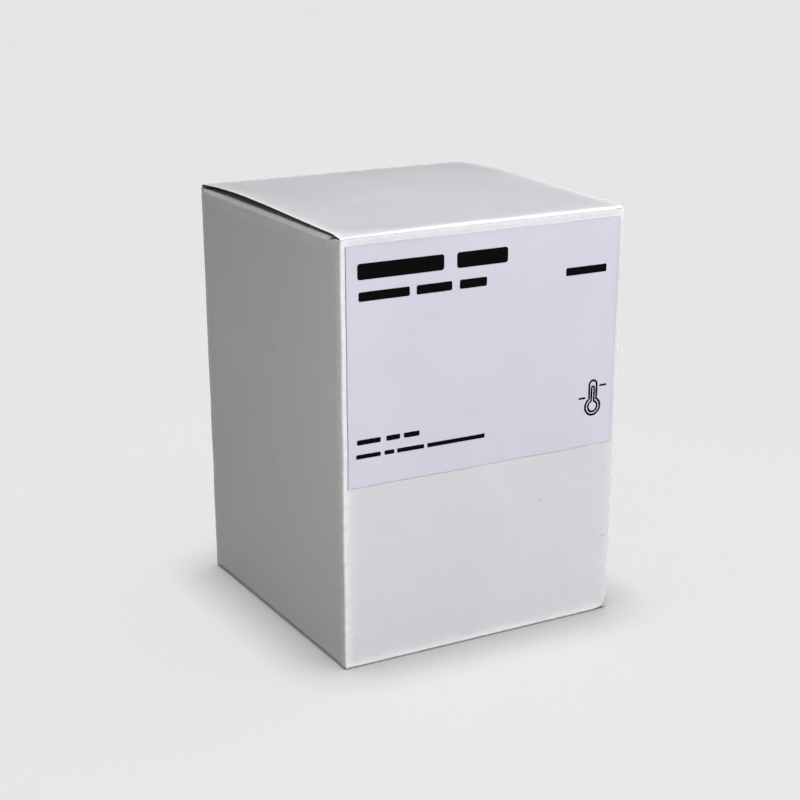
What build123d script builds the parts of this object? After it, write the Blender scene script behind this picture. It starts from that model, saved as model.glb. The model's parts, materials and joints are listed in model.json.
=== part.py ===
"""A reverse-tuck folding carton with the capped glass ink bottle that stands inside it.

Millimetres. The origin is at the middle of the carton's footprint, on the surface it stands on.
+Z is up, -Y is the carton's front and +X is to the right of someone facing the front.
"""

from build123d import *
from math import cos, radians, sin, tan
import os

# Carton
WIDTH = 60.0
DEPTH = 60.0
HEIGHT = 82.0
BOARD = 0.45
CORNER_RADIUS = 0.6
CREASE_ROUND = 0.3

# Closures: the lid is hinged on the back wall, the bottom on the front wall
LID_GAP = 0.25
BOTTOM_GAP = 0.10
LID_RISE = 0.8
CLOSURE_SIDE_RELIEF = 0.3
TUCK_GAP = 0.1
TUCK_LENGTH = 10.0
TUCK_LEAN = 6.5
TUCK_SIDE_RELIEF = 1.6
TUCK_TAPER = 1.5
TUCK_CORNER = 4.0
FRONT_EDGE_DROP = 0.6
DUST_REACH = 28.0
DUST_FREE_EDGE = 26.5
DUST_HINGE_EDGE = 29.0
DUST_TAPER = 0.95
DUST_CORNER = 2.5

# Glued seam at the back right corner
GLUE_FLAP_WIDTH = 12.0
GLUE_FLAP_END = 3.0
GLUE_FLAP_TAPER = 15.0
GLUE_FILM = 0.1
GLUE_MARGIN = 2.0
GLUE_CORNER = 2.0

# Adhesive label on the front wall
LABEL_THICKNESS = 0.1
LABEL_LEFT = -28.8
LABEL_RIGHT = 29.0
LABEL_FOOT = 35.6
LABEL_HEAD = 80.2
LABEL_CORNER = 0.3

# Bottle
BOTTLE_FOOT = 1.25
BOTTLE_RADIUS = 27.0
GLASS = 2.2
GLASS_FLOOR = 3.0
HEEL_RADIUS = 3.5
PUSH_UP = 0.7
PUSH_UP_RADIUS = 21.0
SHOULDER_RADIUS = 10.0
SHOULDER_TOP = 62.0
NECK_RADIUS = 12.5
BORE_RADIUS = 9.5
LIP = 72.5
NECK_ROUND = 0.5
INK_LEVEL = 56.25

# Bottle label
BOTTLE_LABEL_THICKNESS = 0.08
BOTTLE_LABEL_FOOT = 11.0
BOTTLE_LABEL_HEAD = 45.0
BOTTLE_LABEL_ARC = 200.0

# Screw cap and its thread
THREAD_PITCH = 4.2
THREAD_START = 65.2
THREAD_ROOT_BITE = 0.3
NECK_THREAD_CREST = 13.6
NECK_THREAD_TURNS = 1.25
CAP_THREAD_CREST = 12.95
CAP_THREAD_TURNS = 1.0
THREAD_ROOT_WIDTH = 1.9
THREAD_CREST_WIDTH = 1.1
CAP_FOOT = 62.8
CAP_TOP = 75.1
CAP_CROWN = 1.6
CAP_BORE_RADIUS = 14.2
CAP_RADIUS = 15.3
CAP_EDGE = 1.0
RIB_COUNT = 60
RIB_RADIUS = 0.35
RIB_HEAD = 73.6
LINER_RADIUS = 13.6
LINER_PLAY = 0.05

# What follows from them
SIDE_HEAD = HEIGHT - BOARD - LID_GAP
SIDE_FOOT = BOARD + BOTTOM_GAP
INSIDE_X = WIDTH / 2 - BOARD
INSIDE_Y = DEPTH / 2 - BOARD
FOLD_Y = -INSIDE_Y + TUCK_GAP
TUCK_MITRE = BOARD * (1 + sin(radians(TUCK_LEAN))) / cos(radians(TUCK_LEAN))

# Each closure is drawn in a frame of its own end: y towards its hinge, z out of the carton
TOP_END = Plane(origin=(0, 0, HEIGHT), x_dir=(1, 0, 0), z_dir=(0, 0, 1))
BOTTOM_END = Plane(origin=(0, 0, 0), x_dir=(1, 0, 0), z_dir=(0, 0, -1))

os.makedirs("parts", exist_ok=True)


def save(piece, node):
    """Label a finished piece and write it as a node of its own."""
    piece.part.label = node
    export_step(piece.part, f"parts/{node}.step")


def seen_from_side(end):
    """The plane through an end's middle that shows its (y, z)."""
    return Plane(origin=end.origin, x_dir=end.y_dir, z_dir=end.x_dir)


def seen_from_hinge(end):
    """The plane through an end's middle that shows its (x, z)."""
    return Plane(origin=end.origin, x_dir=end.x_dir, z_dir=-end.y_dir)


def crease(corner, along, inner):
    """The rounded outer half of a crease, drawn from a face to the mitre.

    The crease runs through corner, the face leaves it in the direction along, and the mitre ends
    at inner. Returns where the rounding meets the face and where it meets the mitre.
    """
    mitre = (inner - corner).normalized()
    half_angle = radians(along.get_angle(mitre))
    on_face = corner + along * CREASE_ROUND
    on_mitre = corner + mitre * (CREASE_ROUND * (1 - sin(half_angle)) / cos(half_angle))
    TangentArc(on_face, on_mitre, tangent=-along)
    return on_face, on_mitre


def wall_end(end_z, inward, creased):
    """One end of a wall's profile, creased or cut square. Returns its outer and inner points."""
    outer = Vector(-DEPTH / 2, end_z)
    if not creased:
        inner = Vector(-INSIDE_Y, end_z)
        Line(outer, inner)
        return outer, inner
    inner = Vector(-INSIDE_Y, end_z + inward * BOARD)
    on_face, on_mitre = crease(outer, Vector(0, inward), inner)
    Line(on_mitre, inner)
    return on_face, inner


def wall(turn, foot, head, foot_creased=True, head_creased=True):
    """One wall of the sleeve, turned about Z from the front and mitred at its corners."""
    turned = Plane.XY.rotated((0, 0, turn))
    with BuildPart() as panel:
        with BuildSketch(turned):
            RectangleRounded(WIDTH, DEPTH, CORNER_RADIUS)
            RectangleRounded(2 * INSIDE_X, 2 * INSIDE_Y, CORNER_RADIUS - BOARD, mode=Mode.SUBTRACT)
            with BuildLine():
                Polyline((0, 0), (-WIDTH, -WIDTH), (WIDTH, -WIDTH), close=True)
            make_face(mode=Mode.INTERSECT)
        extrude(amount=HEIGHT)
        with BuildSketch(seen_from_side(turned)):
            with BuildLine():
                foot_outer, foot_inner = wall_end(foot, 1, foot_creased)
                head_outer, head_inner = wall_end(head, -1, head_creased)
                Line(foot_outer, head_outer)
                Line(foot_inner, head_inner)
            make_face()
        extrude(amount=WIDTH, both=True, mode=Mode.INTERSECT)
    return panel


def bowed(start, end, rise):
    """A line from start to end, or an arc that rises above it."""
    if rise == 0:
        return Line(start, end)
    return ThreePointArc(start, (start + end) / 2 + Vector(0, rise), end)


def closing_panel(end, rise):
    """The panel that closes an end, mitred at its hinge crease and at its tuck fold."""
    hinge, hinge_inner = Vector(DEPTH / 2, 0), Vector(INSIDE_Y, -BOARD)
    fold, fold_inner = Vector(FOLD_Y, 0), Vector(FOLD_Y + TUCK_MITRE, -BOARD)
    with BuildPart() as panel:
        with BuildSketch(seen_from_side(end)):
            with BuildLine():
                hinge_face, hinge_mitre = crease(hinge, Vector(-1, 0), hinge_inner)
                fold_face, fold_mitre = crease(fold, Vector(1, 0), fold_inner)
                bowed(hinge_face, fold_face, rise)
                bowed(hinge_inner, fold_inner, rise)
                Line(hinge_mitre, hinge_inner)
                Line(fold_mitre, fold_inner)
            make_face()
        extrude(amount=WIDTH / 2 - CLOSURE_SIDE_RELIEF, both=True)
    return panel


def tuck_flap(end):
    """The flap folded down from a closing panel, leaning in from the wall it tucks behind."""
    lean = radians(TUCK_LEAN)
    root_half = WIDTH / 2 - TUCK_SIDE_RELIEF
    tip_half = root_half - TUCK_TAPER
    hinge = end.from_local_coords(Vector(0, FOLD_Y, 0))
    outward = -end.y_dir * cos(lean) - end.z_dir * sin(lean)
    down = Vector(sin(lean), -cos(lean))
    inward = Vector(cos(lean), sin(lean))
    fold = Vector(FOLD_Y, 0)
    with BuildPart() as flap:
        with BuildSketch(Plane(origin=hinge, x_dir=end.x_dir, z_dir=outward)) as outline:
            with BuildLine():
                Polyline(
                    (-root_half, 0),
                    (-tip_half, -TUCK_LENGTH),
                    (tip_half, -TUCK_LENGTH),
                    (root_half, 0),
                    close=True,
                )
            make_face()
            fillet(outline.vertices().group_by(Axis.Y)[0], TUCK_CORNER)
        extrude(amount=-BOARD)
        with BuildSketch(seen_from_side(end)):
            with BuildLine():
                inner = fold + inward * BOARD + down * TUCK_MITRE
                tip = fold + down * TUCK_LENGTH
                on_face, on_mitre = crease(fold, down, inner)
                Polyline(on_mitre, inner, tip + inward * BOARD, tip, on_face)
            make_face()
        extrude(amount=WIDTH, both=True, mode=Mode.INTERSECT)
    return flap


def dust_flap(end, side, drop):
    """A flap folded in from a side wall (side -1 left, 1 right) under a closing panel."""
    fold = Vector(side * WIDTH / 2, -drop)
    inner = Vector(side * INSIDE_X, -drop - BOARD)
    tip = Vector(side * (WIDTH / 2 - DUST_REACH), -drop)
    with BuildPart() as flap:
        with BuildSketch(end.offset(-drop - BOARD)) as outline:
            with BuildLine():
                Polyline(
                    (fold.X, -DUST_FREE_EDGE),
                    (tip.X, -DUST_FREE_EDGE),
                    (tip.X, DUST_HINGE_EDGE - DUST_TAPER * DUST_REACH),
                    (fold.X, DUST_HINGE_EDGE),
                    close=True,
                )
            make_face()
            fillet(outline.vertices().filter_by_position(Axis.X, tip.X, tip.X), DUST_CORNER)
        extrude(amount=BOARD)
        with BuildSketch(seen_from_hinge(end)):
            with BuildLine():
                on_face, on_mitre = crease(fold, Vector(-side, 0), inner)
                Polyline(on_mitre, inner, tip - Vector(0, BOARD), tip, on_face)
            make_face()
        extrude(amount=DEPTH, both=True, mode=Mode.INTERSECT)
    return flap


def thread(root, crest, turns, facing):
    """A right-hand trapezoid ridge from its root radius to its crest, starting at an angle."""
    bite = THREAD_ROOT_BITE if root > crest else -THREAD_ROOT_BITE
    height = turns * THREAD_PITCH
    helix = Helix(THREAD_PITCH, height, root, center=(0, 0, THREAD_START)).rotate(Axis.Z, facing)
    radial = Vector(cos(radians(facing)), sin(radians(facing)), 0)
    with BuildPart() as ridge:
        with BuildLine() as path:
            add(helix)
        with BuildSketch(Plane(origin=helix @ 0, x_dir=radial, z_dir=helix % 0)):
            with BuildLine():
                Polyline(
                    (bite, -THREAD_ROOT_WIDTH / 2),
                    (crest - root, -THREAD_CREST_WIDTH / 2),
                    (crest - root, THREAD_CREST_WIDTH / 2),
                    (bite, THREAD_ROOT_WIDTH / 2),
                    close=True,
                )
            make_face()
        sweep(path=path.line, is_frenet=True)
    return ridge.part


# Sleeve: four walls folded from one blank and glued at the back right corner
save(wall(0, 0, HEIGHT - FRONT_EDGE_DROP, head_creased=False), "front_panel")
save(wall(90, SIDE_FOOT, SIDE_HEAD), "right_side_panel")
save(wall(180, 0, HEIGHT, foot_creased=False), "back_panel")
save(wall(270, SIDE_FOOT, SIDE_HEAD), "left_side_panel")

flap_slope = GLUE_FLAP_WIDTH * tan(radians(GLUE_FLAP_TAPER))
with BuildPart() as glue_flap:
    with BuildSketch(Plane.YZ.offset(INSIDE_X - GLUE_FILM)):
        with BuildLine():
            Polyline(
                (INSIDE_Y, GLUE_FLAP_END),
                (INSIDE_Y, HEIGHT - GLUE_FLAP_END),
                (INSIDE_Y - GLUE_FLAP_WIDTH, HEIGHT - GLUE_FLAP_END - flap_slope),
                (INSIDE_Y - GLUE_FLAP_WIDTH, GLUE_FLAP_END + flap_slope),
                close=True,
            )
        make_face()
    extrude(amount=-BOARD)
save(glue_flap, "glue_flap")

glue_width = GLUE_FLAP_WIDTH - 2 * GLUE_MARGIN
glue_length = HEIGHT - 2 * (GLUE_FLAP_END + flap_slope + GLUE_MARGIN)
with BuildPart() as seam_adhesive:
    with BuildSketch(Plane.YZ.offset(INSIDE_X - GLUE_FILM)):
        with Locations((INSIDE_Y - GLUE_FLAP_WIDTH / 2, HEIGHT / 2)):
            RectangleRounded(glue_width, glue_length, GLUE_CORNER)
    extrude(amount=GLUE_FILM)
save(seam_adhesive, "seam_adhesive")

with BuildPart() as front_label:
    with BuildSketch(Plane.XZ.offset(DEPTH / 2)):
        with Locations(((LABEL_LEFT + LABEL_RIGHT) / 2, (LABEL_FOOT + LABEL_HEAD) / 2)):
            RectangleRounded(LABEL_RIGHT - LABEL_LEFT, LABEL_HEAD - LABEL_FOOT, LABEL_CORNER)
    extrude(amount=LABEL_THICKNESS)
save(front_label, "front_label")

# Closures: the bottom set is the top set turned half a turn about X
save(closing_panel(TOP_END, LID_RISE), "lid")
save(tuck_flap(TOP_END), "lid_tuck_flap")
save(dust_flap(TOP_END, -1, BOARD + LID_GAP), "left_dust_flap")
save(dust_flap(TOP_END, 1, BOARD + LID_GAP), "right_dust_flap")
save(closing_panel(BOTTOM_END, 0), "bottom_panel")
save(tuck_flap(BOTTOM_END), "bottom_tuck_flap")
save(dust_flap(BOTTOM_END, -1, SIDE_FOOT), "bottom_left_dust_flap")
save(dust_flap(BOTTOM_END, 1, SIDE_FOOT), "bottom_right_dust_flap")

# Bottle: a round glass jar with a threaded neck
shoulder_x = BOTTLE_RADIUS - SHOULDER_RADIUS
shoulder_z = SHOULDER_TOP - SHOULDER_RADIUS
inner_radius = BOTTLE_RADIUS - GLASS
inner_heel = HEEL_RADIUS - GLASS / 2
floor = BOTTLE_FOOT + GLASS_FLOOR

with BuildPart() as cavity:
    with BuildSketch(Plane.XZ):
        with BuildLine():
            Line((0, floor), (inner_radius - inner_heel, floor))
            CenterArc((inner_radius - inner_heel, floor + inner_heel), inner_heel, -90, 90)
            Line((inner_radius, floor + inner_heel), (inner_radius, shoulder_z))
            CenterArc((shoulder_x, shoulder_z), SHOULDER_RADIUS - GLASS, 0, 90)
            Polyline(
                (shoulder_x, SHOULDER_TOP - GLASS),
                (BORE_RADIUS, SHOULDER_TOP - GLASS),
                (BORE_RADIUS, LIP),
                (0, LIP),
                (0, floor),
            )
        make_face()
    revolve(axis=Axis.Z)

neck_thread = thread(NECK_RADIUS, NECK_THREAD_CREST, NECK_THREAD_TURNS, 0)
with BuildPart() as glass_bottle:
    with BuildSketch(Plane.XZ) as half_section:
        with BuildLine():
            Polyline(
                (0, LIP),
                (0, BOTTLE_FOOT + PUSH_UP),
                (PUSH_UP_RADIUS, BOTTLE_FOOT + PUSH_UP),
                (PUSH_UP_RADIUS + PUSH_UP, BOTTLE_FOOT),
                (BOTTLE_RADIUS - HEEL_RADIUS, BOTTLE_FOOT),
            )
            heel_centre = (BOTTLE_RADIUS - HEEL_RADIUS, BOTTLE_FOOT + HEEL_RADIUS)
            CenterArc(heel_centre, HEEL_RADIUS, -90, 90)
            Line((BOTTLE_RADIUS, BOTTLE_FOOT + HEEL_RADIUS), (BOTTLE_RADIUS, shoulder_z))
            CenterArc((shoulder_x, shoulder_z), SHOULDER_RADIUS, 0, 90)
            Polyline(
                (shoulder_x, SHOULDER_TOP),
                (NECK_RADIUS, SHOULDER_TOP),
                (NECK_RADIUS, LIP),
                (0, LIP),
            )
        make_face()
        neck_corners = half_section.vertices().filter_by_position(Axis.X, NECK_RADIUS, NECK_RADIUS)
        fillet(neck_corners, NECK_ROUND)
    revolve(axis=Axis.Z)
    add(cavity, mode=Mode.SUBTRACT)
    add(neck_thread)
save(glass_bottle, "glass_bottle")

with BuildPart() as ink:
    add(cavity)
    split(bisect_by=Plane.XY.offset(INK_LEVEL), keep=Keep.BOTTOM)
save(ink, "ink")

# The bottle's own label wraps part of the way round, centred on the front
label_start = Plane.XY.rotated((0, 0, -90 - BOTTLE_LABEL_ARC / 2))
label_middle = (BOTTLE_LABEL_FOOT + BOTTLE_LABEL_HEAD) / 2
with BuildPart() as bottle_label:
    with BuildSketch(seen_from_hinge(label_start)):
        with Locations((BOTTLE_RADIUS + BOTTLE_LABEL_THICKNESS / 2, label_middle)):
            Rectangle(BOTTLE_LABEL_THICKNESS, BOTTLE_LABEL_HEAD - BOTTLE_LABEL_FOOT)
    revolve(axis=Axis.Z, revolution_arc=BOTTLE_LABEL_ARC)
save(bottle_label, "bottle_label")

# Cap: a ribbed shell with its own thread and a loose sealing disc
with BuildPart() as cap_liner:
    with BuildSketch(Plane.XY.offset(LIP + LINER_PLAY)):
        Circle(LINER_RADIUS)
    extrude(amount=CAP_TOP - CAP_CROWN - LIP - 2 * LINER_PLAY)
save(cap_liner, "cap_liner")

cap_thread = thread(CAP_BORE_RADIUS, CAP_THREAD_CREST, CAP_THREAD_TURNS, 180)
with BuildPart() as screw_cap:
    with BuildSketch(Plane.XY.offset(CAP_FOOT)):
        Circle(CAP_RADIUS)
    extrude(amount=CAP_TOP - CAP_FOOT)
    fillet(screw_cap.faces().sort_by(Axis.Z)[-1].edges(), CAP_EDGE)
    with BuildSketch(Plane.XY.offset(CAP_FOOT)):
        with PolarLocations(CAP_RADIUS, RIB_COUNT):
            Circle(RIB_RADIUS)
    extrude(amount=RIB_HEAD - CAP_FOOT)
    with BuildSketch(Plane.XY.offset(CAP_FOOT)):
        Circle(CAP_BORE_RADIUS)
    extrude(amount=CAP_TOP - CAP_CROWN - CAP_FOOT, mode=Mode.SUBTRACT)
    add(cap_thread)
save(screw_cap, "screw_cap")
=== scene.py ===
"""The looks of a closed paperboard carton and the ink bottle inside it, built round the CAD frame.

Lengths are in millimetres up to where a point goes into a mesh. The carton's front faces -Y.
"""

import bmesh
import bpy
import json
from math import cos, exp, hypot, pi, radians, sin, sqrt, tan
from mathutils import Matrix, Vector, noise


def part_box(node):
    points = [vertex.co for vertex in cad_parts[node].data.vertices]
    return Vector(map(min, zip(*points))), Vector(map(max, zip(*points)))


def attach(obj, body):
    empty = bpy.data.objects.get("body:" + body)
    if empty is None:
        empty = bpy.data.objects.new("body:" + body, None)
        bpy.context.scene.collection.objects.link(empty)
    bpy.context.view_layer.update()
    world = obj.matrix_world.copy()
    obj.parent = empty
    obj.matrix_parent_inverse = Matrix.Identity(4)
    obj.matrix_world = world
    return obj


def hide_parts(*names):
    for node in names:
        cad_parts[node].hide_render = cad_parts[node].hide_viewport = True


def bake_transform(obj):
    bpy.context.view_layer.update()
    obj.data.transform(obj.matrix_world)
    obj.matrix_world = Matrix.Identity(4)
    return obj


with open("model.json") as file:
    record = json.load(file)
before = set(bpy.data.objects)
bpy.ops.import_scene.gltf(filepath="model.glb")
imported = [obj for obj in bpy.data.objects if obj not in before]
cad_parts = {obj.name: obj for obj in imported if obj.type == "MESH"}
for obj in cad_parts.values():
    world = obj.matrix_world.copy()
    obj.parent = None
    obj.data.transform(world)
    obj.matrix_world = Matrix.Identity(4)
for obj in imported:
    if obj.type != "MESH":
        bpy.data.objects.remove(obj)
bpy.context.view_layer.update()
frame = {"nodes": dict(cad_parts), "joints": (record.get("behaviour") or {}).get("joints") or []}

MM = 0.001


def millimetre_box(node):
    """A CAD node's lowest and highest corners at rest, in millimetres."""
    low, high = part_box(node)
    return low / MM, high / MM


# The carton's sizes, from the frame
front_low, front_high = millimetre_box("front_panel")
flap_low, flap_high = millimetre_box("glue_flap")
label_low, label_high = millimetre_box("front_label")
dust_low, dust_high = millimetre_box("left_dust_flap")

BOARD = front_high.y - front_low.y
HALF = -front_low.y
LID_HALF = millimetre_box("lid")[1].x
TUCK_HALF = millimetre_box("lid_tuck_flap")[1].x
JOINTS = {joint["name"]: joint for joint in frame["joints"]}
TOP = JOINTS["lid_hinge"]["pos_m"][2] / MM
SIDE_HEAD = JOINTS["left_dust_fold"]["pos_m"][2] / MM
SIDE_FOOT = JOINTS["bottom_left_dust_fold"]["pos_m"][2] / MM
FOLD_Y = JOINTS["lid_tuck_fold"]["pos_m"][1] / MM

# How finely the board is divided, and the outer radius of its folds
CELL = 1.5
FOLD_RADIUS = 0.5
FOLD_STEPS = 10
SHARP_ANGLE = radians(35)


def smooth(low, high, x):
    """0 below low, 1 above high, and a smooth rise between them."""
    t = min(1.0, max(0.0, (x - low) / (high - low)))
    return t * t * (3 - 2 * t)


def wander(x, y, z, size):
    """Smooth noise from -1 to 1, with features about size millimetres across."""
    return noise.noise(Vector((x, y, z)) / size)


def side_of(value):
    """1 to the right or the back of the middle, -1 to the left or the front of it."""
    return 1 if value > 0 else -1


def near_wall(x, start, full):
    """0 more than start inside a wall's outer face, rising to 1 at full inside it."""
    return smooth(HALF - start, HALF - full, x)


def near_top(z, start, full):
    """0 more than start below the top, rising to 1 at full below it."""
    return smooth(TOP - start, TOP - full, z)


def spread(start, end, step=CELL):
    """Evenly spaced values from start to end, about a step apart."""
    count = max(1, round(abs(end - start) / step))
    return [start + (end - start) * k / count for k in range(count + 1)]


def edged(low, high, insets, margin, step=CELL):
    """Values from low to high: set insets at both ends, and a spread between the margins."""
    return [
        *(low + inset for inset in insets),
        *spread(low + margin, high - margin, step),
        *(high - inset for inset in reversed(insets)),
    ]


def quarter(steps):
    """Angles from 0 to a right angle, in equal steps."""
    return [k / steps * pi / 2 for k in range(steps + 1)]


# Handled board isn't quite flat: how far it has given way, how large the patches of unevenness
# are, and seeds that keep one wall's unevenness apart from another's
FLARE = 0.01
WALL_DEPTH = 1.5
BULGE = 0.16
BULGE_UNEVENNESS = 0.6
BULGE_SIZE = 22
FRONT_BACK_SEED = 7
SIDE_SEED = 9
LIP = 0.34
LIP_DROP = 0.55
LIP_HEIGHT = 0.4
LIP_UNEVENNESS = 0.7
LIP_SIZE = 2.5
LIP_SEED = 3
DENT = 0.14
DENT_POWER = 10
DENT_SIZE = 9
DENT_SEED = 40
PRESS = 0.34
PRESS_WIDTH = 1.5
PRESS_START = 0.35
PRESS_FULL = 0.97
PRESS_UNEVENNESS = 0.07
PRESS_SIZE = 8
PROUD = 0.35
PROUD_REACH = 5
TIP_REACH = 1.8
BLUNT = 0.42
BLUNT_WAY = (-1, 1, 0.35)
CRUMPLE = 0.3
CRUMPLE_DEPTH = 0.6
CRUMPLE_SIZES = (1.1, 1.3, 1.2)
CRUMPLE_SEED = 9


def near_tip(p, tip, amount):
    """An amount at one corner tip of the carton, fading within a few millimetres."""
    gap = (p[0] - tip[0]) ** 2 + (p[1] - tip[1]) ** 2 + (p[2] - tip[2]) ** 2
    return amount * exp(-(gap / TIP_REACH ** 2))


def bulge(side, across, upright, unevenness):
    """A wall swells outwards in its middle."""
    return side * upright * across * BULGE * (1 + BULGE_UNEVENNESS * unevenness)


def frayed_lip(x, y, z):
    """The outer skin of a side wall stands out raggedly just below its head."""
    lip = exp(-(((z - SIDE_HEAD + LIP_DROP) / LIP_HEIGHT) ** 2))
    lip *= 1 - near_wall(abs(y), start=3.0, full=1.0)
    lip *= near_wall(abs(x), start=0.35, full=0.05)
    side = side_of(x)
    return side * lip * LIP * (1 + LIP_UNEVENNESS * wander(side * LIP_SEED, y, z, LIP_SIZE))


def pressed_fold(x, y, z):
    """The lid's front fold is pressed down, most of all towards its left end."""
    fold = exp(-((y - FOLD_Y) / PRESS_WIDTH) ** 2) * near_top(z, start=0.65, full=0.2)
    pressed = PRESS * smooth(HALF * PRESS_START, HALF * PRESS_FULL, -x)
    return fold * (pressed + PRESS_UNEVENNESS * (1 + wander(x, 0, 0, PRESS_SIZE)))


def proud_edge(x, y, z):
    """The lid's right edge stands out past the wall towards the front."""
    proud = near_top(z, start=0.62, full=0.47) * near_wall(x, start=3.0, full=0.5)
    return PROUD * proud * exp(-(((y + HALF) / PROUD_REACH) ** 2))


def crumple(x, y, z):
    """The upper front left corner is crumpled."""
    ragged = (
        wander(x, y, z, CRUMPLE_SIZES[0]),
        CRUMPLE_DEPTH * wander(x, y, z + CRUMPLE_SEED, CRUMPLE_SIZES[1]),
        wander(x, y, z - CRUMPLE_SEED, CRUMPLE_SIZES[2]),
    )
    return Vector(ragged) * near_tip((x, y, z), (-HALF, -HALF, TOP), CRUMPLE)


def slack(p):
    """How far the handled board has moved from its flat, square shape at a point."""
    x, y, z = p
    side_x, side_y = side_of(x), side_of(y)
    across_x = max(0.0, 1 - (x / HALF) ** 2)
    across_y = max(0.0, 1 - (y / HALF) ** 2)
    upright = max(0.0, 4 * z * (TOP - z) / TOP ** 2)
    flare = FLARE * (2 * z / TOP - 1)
    move = Vector((x * flare, y * flare, 0))
    if abs(y) > HALF - WALL_DEPTH:
        unevenness = wander(x, side_y * FRONT_BACK_SEED, z, BULGE_SIZE)
        move.y += bulge(side_y, across_x, upright, unevenness)
    if abs(x) > HALF - WALL_DEPTH:
        unevenness = wander(side_x * SIDE_SEED, y, z, BULGE_SIZE)
        move.x += bulge(side_x, across_y, upright, unevenness)
        move.x += frayed_lip(x, y, z)
    dent = (abs(x) / HALF) ** DENT_POWER * (abs(y) / HALF) ** DENT_POWER * upright * DENT
    move.x += dent * wander(x, y, z, DENT_SIZE) * side_x
    move.y += dent * wander(x, y, z + DENT_SEED, DENT_SIZE) * side_y
    move.z -= pressed_fold(x, y, z)
    move.x += proud_edge(x, y, z)
    move += Vector(BLUNT_WAY) * near_tip(p, (HALF, -HALF, 0), BLUNT)
    move += crumple(x, y, z)
    return move


def settle(p):
    """A point of the board after its slack, from millimetres to metres."""
    return (Vector(p) + slack(p)) * MM


# How far the rubbing of the edges, a painted highlight as well as wear, reaches over the faces beside
# them, and how unevenly
SIDE_MARGIN = 1.0
RUB_BAND = 0.5
RUB_REACH = 0.75
RUB_UNEVENNESS = 0.35
RUB_SIZE = 3
# Below the side walls' heads the pale band reaches further: fraying, and a painted highlight on the
# bent-out edge.
FRAY_HIGHLIGHT_REACH = 0.9
FRAY_HIGHLIGHT_UNEVENNESS = 0.8
FRAY_HIGHLIGHT_SIZE = 2.2
RIGHT_EDGE_DIMMING = 0.68


def edge_distance(p):
    """How far a point is from the nearest edge of the carton's box."""
    x, y, z = p
    on_side = abs(x) > HALF - FOLD_RADIUS and abs(y) < HALF - SIDE_MARGIN
    head = SIDE_HEAD if on_side else TOP
    near = sorted((HALF - abs(x), HALF - abs(y), min(z, max(0.0, head - z))))
    return hypot(max(0.0, near[0]), max(0.0, near[1]))


def crease_wear_and_highlight(p):
    """1 on the carton's edges, falling to 0 within a millimetre or two: rubbing, and a painted
    highlight along the folds.
    """
    x, _, z = p
    # Just below a side wall's head the pale band reaches further down: fraying, and a painted
    # highlight where the bent-out edge would catch the light.
    frayed_and_highlit = near_wall(abs(x), start=1.0, full=0.3) * near_top(z, start=5.0, full=1.0)
    reach = RUB_REACH + RUB_UNEVENNESS * wander(*p, RUB_SIZE)
    reach += FRAY_HIGHLIGHT_REACH * frayed_and_highlit * (1 + FRAY_HIGHLIGHT_UNEVENNESS * wander(*p, FRAY_HIGHLIGHT_SIZE))
    # Along the right front edge, below its top, the rubbing and painted highlight are kept weak, so
    # that edge stays darker than the left.
    right_edge = near_wall(x, start=3.0, full=1.0)
    right_dimming = RIGHT_EDGE_DIMMING * right_edge * (1 - near_top(z, start=4.0, full=1.0))
    return exp(-max(0.0, edge_distance(p) - RUB_BAND) / reach) * (1 - right_dimming)


# Mesh building


def new_piece(name, work, materials):
    """A mesh object from a bmesh, smooth but for sharp edges and where the material changes."""
    bmesh.ops.recalc_face_normals(work, faces=work.faces)
    work.normal_update()
    for face in work.faces:
        face.smooth = True
    for edge in work.edges:
        changes = len({face.material_index for face in edge.link_faces}) > 1
        if changes or edge.calc_face_angle(0.0) > SHARP_ANGLE:
            edge.smooth = False
    mesh = bpy.data.meshes.new(name)
    work.to_mesh(mesh)
    work.free()
    for material in materials:
        mesh.materials.append(material)
    piece = bpy.data.objects.new(name, mesh)
    bpy.context.scene.collection.objects.link(piece)
    return piece


def rim_of(rows, columns):
    """The places (row, column) round the outside of a grid, in order."""
    rim = [(i, 0) for i in range(rows)]
    rim += [(rows - 1, j) for j in range(1, columns)]
    rim += [(i, columns - 1) for i in range(rows - 2, -1, -1)]
    rim += [(0, j) for j in range(columns - 2, 0, -1)]
    return rim


def close_sheet(work, top, base):
    """The faces of a sheet between two grids of vertices: its top's, its base's and its rim's."""
    rows, columns = len(top), len(top[0])
    cells = [(i, j) for i in range(rows - 1) for j in range(columns - 1)]
    loops = [
        [(made[i][j], made[i + 1][j], made[i + 1][j + 1], made[i][j + 1]) for i, j in cells]
        for made in (top, base)
    ]
    rim = rim_of(rows, columns)
    pairs = zip(rim, rim[1:] + rim[:1])
    loops.append([(top[i][j], top[k][m], base[k][m], base[i][j]) for (i, j), (k, m) in pairs])
    return [[work.faces.new(loop) for loop in kind] for kind in loops]


def slab(name, outer, inner, materials, wear_and_painted_light=crease_wear_and_highlight, shape=settle):
    """A closed sheet between two grids of points, with materials for its two faces and its rim."""
    work = bmesh.new()
    wear_and_light_layer = work.verts.layers.float.new("wear_and_painted_light")

    def vertex_at(point):
        vertex = work.verts.new(shape(point))
        vertex[wear_and_light_layer] = wear_and_painted_light(point)
        return vertex

    top = [[vertex_at(point) for point in line] for line in outer]
    base = [[vertex_at(point) for point in line] for line in inner]
    for index, faces in enumerate(close_sheet(work, top, base)):
        for face in faces:
            face.material_index = index
    return new_piece(name, work, materials)


# Materials


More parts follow.
